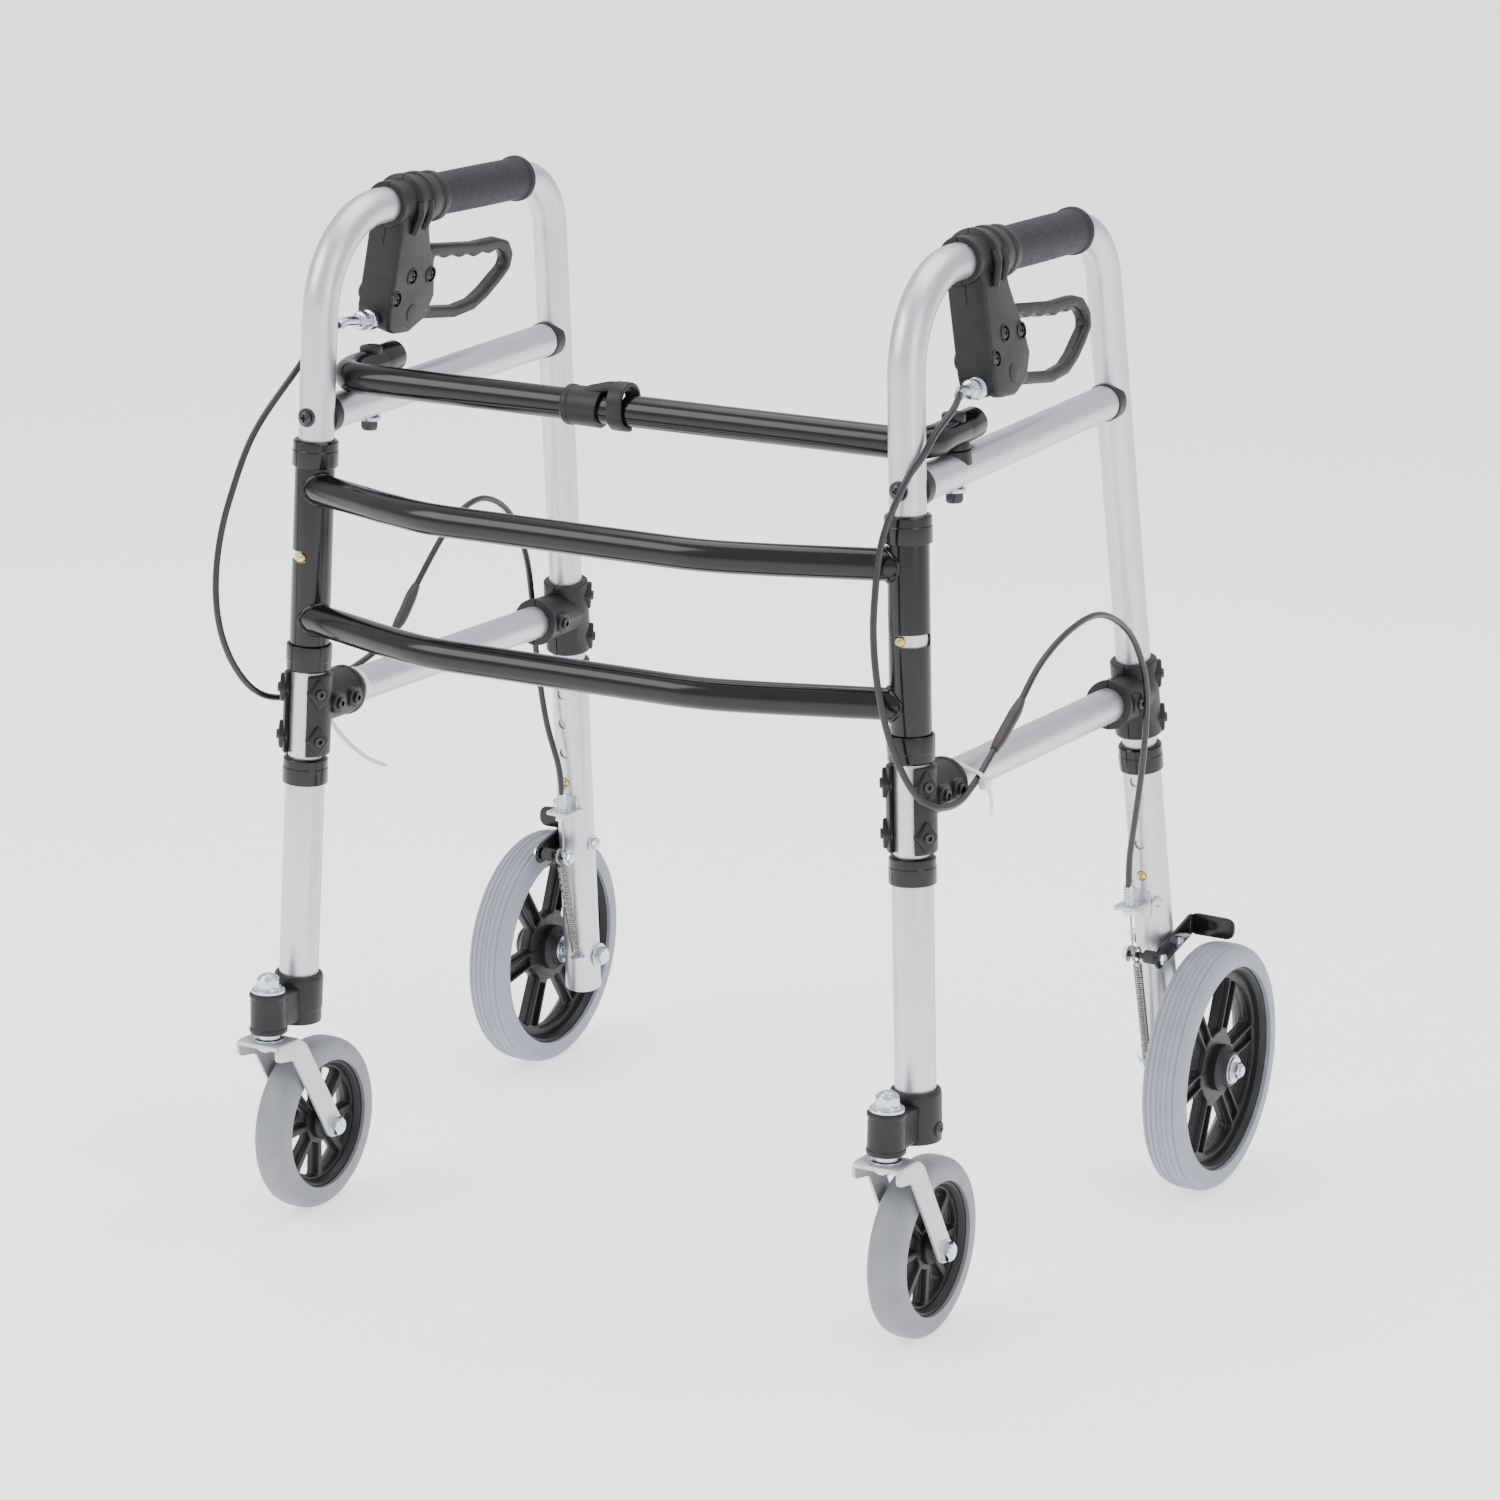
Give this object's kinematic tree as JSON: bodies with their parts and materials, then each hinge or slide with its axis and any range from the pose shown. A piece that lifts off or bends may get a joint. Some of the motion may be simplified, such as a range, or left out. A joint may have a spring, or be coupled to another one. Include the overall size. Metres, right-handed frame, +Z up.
{
  "type": "walking frame",
  "caption": "Folding aluminium walking frame with swivelling front casters, hand levers on both grips and cable-braked rear wheels on height-adjustable legs.",
  "frame": {"origin": "middle of the bounding box, on the floor", "axes": "+Z up, +Y towards the user's side behind the frame, +X to the user's right as they face the frame's front"},
  "size_m": [0.6252, 0.566, 0.756],
  "materials": {
    "aluminium": "satin anodised tube, faint drawing lines",
    "gloss_black": "high-gloss black coat",
    "black_plastic": "fine-grained matte moulding",
    "grip_rubber": "matte charcoal rubber",
    "rear_tyre": "matte blue-grey solid tyre with fine grooves",
    "front_tyre": "smooth grey solid tyre",
    "painted_fork": "silver-grey paint on pressed steel",
    "cable_black": "smooth black cable jacket",
    "brass": "bare turned brass"
  },
  "bodies": {
    "front_frame": {"upper_front_bar": "gloss_black", "lower_front_bar": "gloss_black", "right_sleeve": "gloss_black", "right_sleeve_top_collar": "gloss_black", "right_sleeve_bottom_collar": "gloss_black", "left_sleeve": "gloss_black", "left_sleeve_top_collar": "gloss_black", "left_sleeve_bottom_collar": "gloss_black"},
    "right_side": {"right_side_tube": "aluminium", "right_upper_rail": "aluminium", "right_lower_rail": "aluminium", "right_front_clamp": "black_plastic", "right_rear_clamp": "black_plastic", "right_hand_grip": "grip_rubber", "right_lever_housing": "black_plastic", "right_brake_cable": "cable_black"},
    "right_lever": {"right_brake_lever": "black_plastic"},
    "right_crossbar": {"right_crossbar_half": "gloss_black"},
    "right_front_leg": {"right_front_lower_tube": "aluminium", "right_front_leg_collar": "gloss_black", "right_caster_housing": "black_plastic"},
    "right_caster_swivel": {"right_caster_fork": "painted_fork"},
    "right_caster_wheel": {"right_caster_tyre": "front_tyre", "right_caster_rim": "black_plastic"},
    "right_rear_leg": {"right_rear_lower_tube": "aluminium", "right_rear_leg_collar": "gloss_black", "right_cable_bracket": "aluminium"},
    "right_brake": {"right_brake_arm": "gloss_black"},
    "right_rear_wheel": {"right_rear_tyre": "rear_tyre", "right_rear_rim": "black_plastic"},
    "right_front_button": {"right_front_button": "brass"},
    "right_rear_button": {"right_rear_button": "brass"},
    "right_sleeve_button": {"right_sleeve_button": "brass"},
    "left_side": {"left_side_tube": "aluminium", "left_upper_rail": "aluminium", "left_lower_rail": "aluminium", "left_front_clamp": "black_plastic", "left_rear_clamp": "black_plastic", "left_hand_grip": "grip_rubber", "left_lever_housing": "black_plastic", "left_brake_cable": "cable_black"},
    "left_lever": {"left_brake_lever": "black_plastic"},
    "left_crossbar": {"left_crossbar_half": "gloss_black", "latch_clip": "black_plastic"},
    "left_front_leg": {"left_front_lower_tube": "aluminium", "left_front_leg_collar": "gloss_black", "left_caster_housing": "black_plastic"},
    "left_caster_swivel": {"left_caster_fork": "painted_fork"},
    "left_caster_wheel": {"left_caster_tyre": "front_tyre", "left_caster_rim": "black_plastic"},
    "left_rear_leg": {"left_rear_lower_tube": "aluminium", "left_rear_leg_collar": "gloss_black", "left_cable_bracket": "aluminium"},
    "left_brake": {"left_brake_arm": "gloss_black"},
    "left_rear_wheel": {"left_rear_tyre": "rear_tyre", "left_rear_rim": "black_plastic"},
    "left_front_button": {"left_front_button": "brass"},
    "left_rear_button": {"left_rear_button": "brass"},
    "left_sleeve_button": {"left_sleeve_button": "brass"}
  },
  "joints": [
    {"name": "right_fold", "type": "hinge", "parent": "front_frame", "child": "right_side", "pos_m": [0.2608, -0.22, 0], "axis": [-0.0436, 0, 0.999], "range_deg": [0, 80]},
    {"name": "right_crossbar_swing", "type": "hinge", "parent": "right_side", "child": "right_crossbar", "pos_m": [0.23356, -0.152, 0.62391], "axis": [0, 0.0698, -0.9976], "range_deg": [0, 80], "deforming": ["latch_clip"]},
    {"name": "right_lever_pull", "type": "hinge", "parent": "right_side", "child": "right_lever", "pos_m": [0.2395, -0.128, 0.6722], "axis": [0.9863, 0, 0.165], "range_deg": [0, 9], "stiffness_Nm_per_rad": 4, "springref_deg": -8.59},
    {"name": "right_front_leg_slide", "type": "slide", "parent": "right_side", "child": "right_front_leg", "axis": [0.0436, 0, -0.999], "range_m": [0, 0.1], "deforming": ["right_front_button"]},
    {"name": "right_rear_leg_slide", "type": "slide", "parent": "right_side", "child": "right_rear_leg", "axis": [0.043, 0.1657, -0.9852], "range_m": [0, 0.1], "deforming": ["right_rear_button", "right_brake_cable"]},
    {"name": "right_caster_turn", "type": "hinge", "parent": "right_front_leg", "child": "right_caster_swivel", "pos_m": [0.252, -0.26, 0.15], "axis": [0, 0, 1], "continuous": true},
    {"name": "right_caster_spin", "type": "hinge", "parent": "right_caster_swivel", "child": "right_caster_wheel", "pos_m": [0.252, -0.202, 0.064], "axis": [1, 0, 0], "continuous": true},
    {"name": "right_rear_wheel_spin", "type": "hinge", "parent": "right_rear_leg", "child": "right_rear_wheel", "pos_m": [0.2936, 0.189, 0.094], "axis": [1, 0, 0], "continuous": true},
    {"name": "right_brake_press", "type": "hinge", "parent": "right_rear_leg", "child": "right_brake", "pos_m": [0.25242, 0.171, 0.192], "axis": [-1, 0, 0], "range_deg": [0, 6], "stiffness_Nm_per_rad": 1.5, "springref_deg": -5.73},
    {"name": "right_front_button_press", "type": "slide", "parent": "right_side", "child": "right_front_button", "axis": [0, -1, 0], "range_m": [0, 0.004], "stiffness_N_per_m": 600, "springref_m": -0.002},
    {"name": "right_rear_button_press", "type": "slide", "parent": "right_side", "child": "right_rear_button", "axis": [-0.0072, 0.9862, 0.1656], "range_m": [0, 0.004], "stiffness_N_per_m": 600, "springref_m": -0.002},
    {"name": "right_sleeve_button_press", "type": "slide", "parent": "right_side", "child": "right_sleeve_button", "axis": [0, 1, 0], "range_m": [0, 0.004], "stiffness_N_per_m": 600, "springref_m": -0.002},
    {"name": "left_fold", "type": "hinge", "parent": "front_frame", "child": "left_side", "pos_m": [-0.2608, -0.22, 0], "axis": [0.0436, 0, 0.999], "range_deg": [-80, 0]},
    {"name": "left_crossbar_swing", "type": "hinge", "parent": "left_side", "child": "left_crossbar", "pos_m": [-0.23356, -0.152, 0.62391], "axis": [0, 0.0698, -0.9976], "range_deg": [-80, 0]},
    {"name": "left_lever_pull", "type": "hinge", "parent": "left_side", "child": "left_lever", "pos_m": [-0.2395, -0.128, 0.6722], "axis": [0.9863, 0, -0.165], "range_deg": [0, 9], "stiffness_Nm_per_rad": 4, "springref_deg": -8.59},
    {"name": "left_front_leg_slide", "type": "slide", "parent": "left_side", "child": "left_front_leg", "axis": [-0.0436, 0, -0.999], "range_m": [0, 0.1], "deforming": ["left_front_button"]},
    {"name": "left_rear_leg_slide", "type": "slide", "parent": "left_side", "child": "left_rear_leg", "axis": [-0.043, 0.1657, -0.9852], "range_m": [0, 0.1], "deforming": ["left_rear_button", "left_brake_cable"]},
    {"name": "left_caster_turn", "type": "hinge", "parent": "left_front_leg", "child": "left_caster_swivel", "pos_m": [-0.252, -0.26, 0.15], "axis": [0, 0, 1], "continuous": true},
    {"name": "left_caster_spin", "type": "hinge", "parent": "left_caster_swivel", "child": "left_caster_wheel", "pos_m": [-0.252, -0.202, 0.064], "axis": [1, 0, 0], "continuous": true},
    {"name": "left_rear_wheel_spin", "type": "hinge", "parent": "left_rear_leg", "child": "left_rear_wheel", "pos_m": [-0.2936, 0.189, 0.094], "axis": [1, 0, 0], "continuous": true},
    {"name": "left_brake_press", "type": "hinge", "parent": "left_rear_leg", "child": "left_brake", "pos_m": [-0.25242, 0.171, 0.192], "axis": [-1, 0, 0], "range_deg": [0, 6], "stiffness_Nm_per_rad": 1.5, "springref_deg": -5.73},
    {"name": "left_front_button_press", "type": "slide", "parent": "left_side", "child": "left_front_button", "axis": [0, -1, 0], "range_m": [0, 0.004], "stiffness_N_per_m": 600, "springref_m": -0.002},
    {"name": "left_rear_button_press", "type": "slide", "parent": "left_side", "child": "left_rear_button", "axis": [0.0072, 0.9862, 0.1656], "range_m": [0, 0.004], "stiffness_N_per_m": 600, "springref_m": -0.002},
    {"name": "left_sleeve_button_press", "type": "slide", "parent": "left_side", "child": "left_sleeve_button", "axis": [0, 1, 0], "range_m": [0, 0.004], "stiffness_N_per_m": 600, "springref_m": -0.002}
  ],
  "couplings": [
    {"joint": "right_brake_press", "follows": "right_lever_pull", "ratio": 0.6667},
    {"joint": "left_brake_press", "follows": "left_lever_pull", "ratio": 0.6667}
  ]
}
